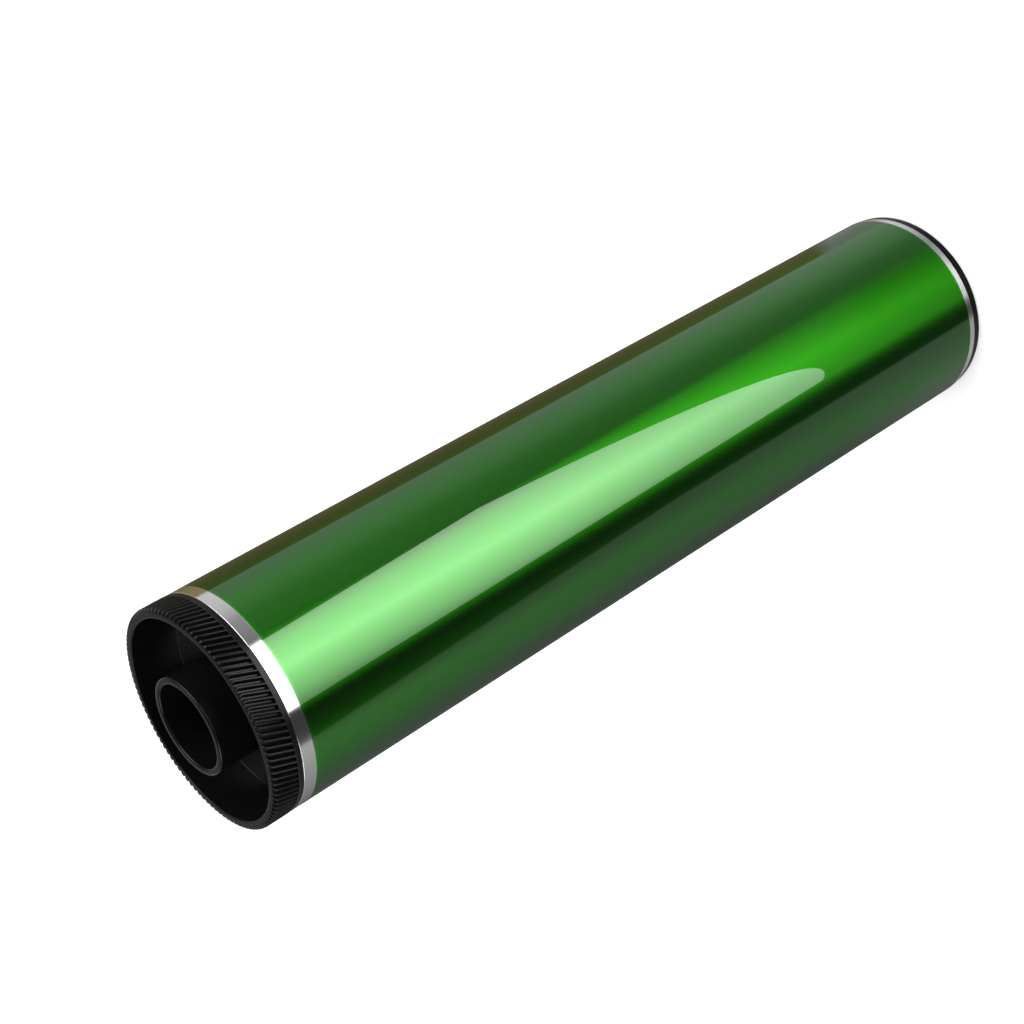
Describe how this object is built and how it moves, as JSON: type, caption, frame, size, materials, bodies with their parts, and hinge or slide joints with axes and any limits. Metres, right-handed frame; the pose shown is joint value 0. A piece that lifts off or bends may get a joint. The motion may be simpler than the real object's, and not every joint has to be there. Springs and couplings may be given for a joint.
{
  "type": "photoconductor drum",
  "caption": "Green coated photoconductor drum: an aluminium tube with a helical drive gear flange at one end and a plain flange at the other.",
  "frame": {"origin": "centre of the plain flange's outer face, which the drum stands on", "axes": "+Z along the drum's axis to the geared end; X and Y square to it"},
  "size_m": [0.0842, 0.0842, 0.3852],
  "materials": {
    "tube_aluminium": "turned bright, almost a mirror",
    "green_coating": "clear glossy layer over metallic green",
    "black_moulding": "moulded, fairly glossy black",
    "spring_steel": "plain stamped strip"
  },
  "bodies": {
    "root": {"drum_tube": "tube_aluminium", "photoconductor_coating": "green_coating", "gear_flange": "black_moulding", "plain_flange": "black_moulding", "earth_plate": "spring_steel"}
  },
  "joints": []
}
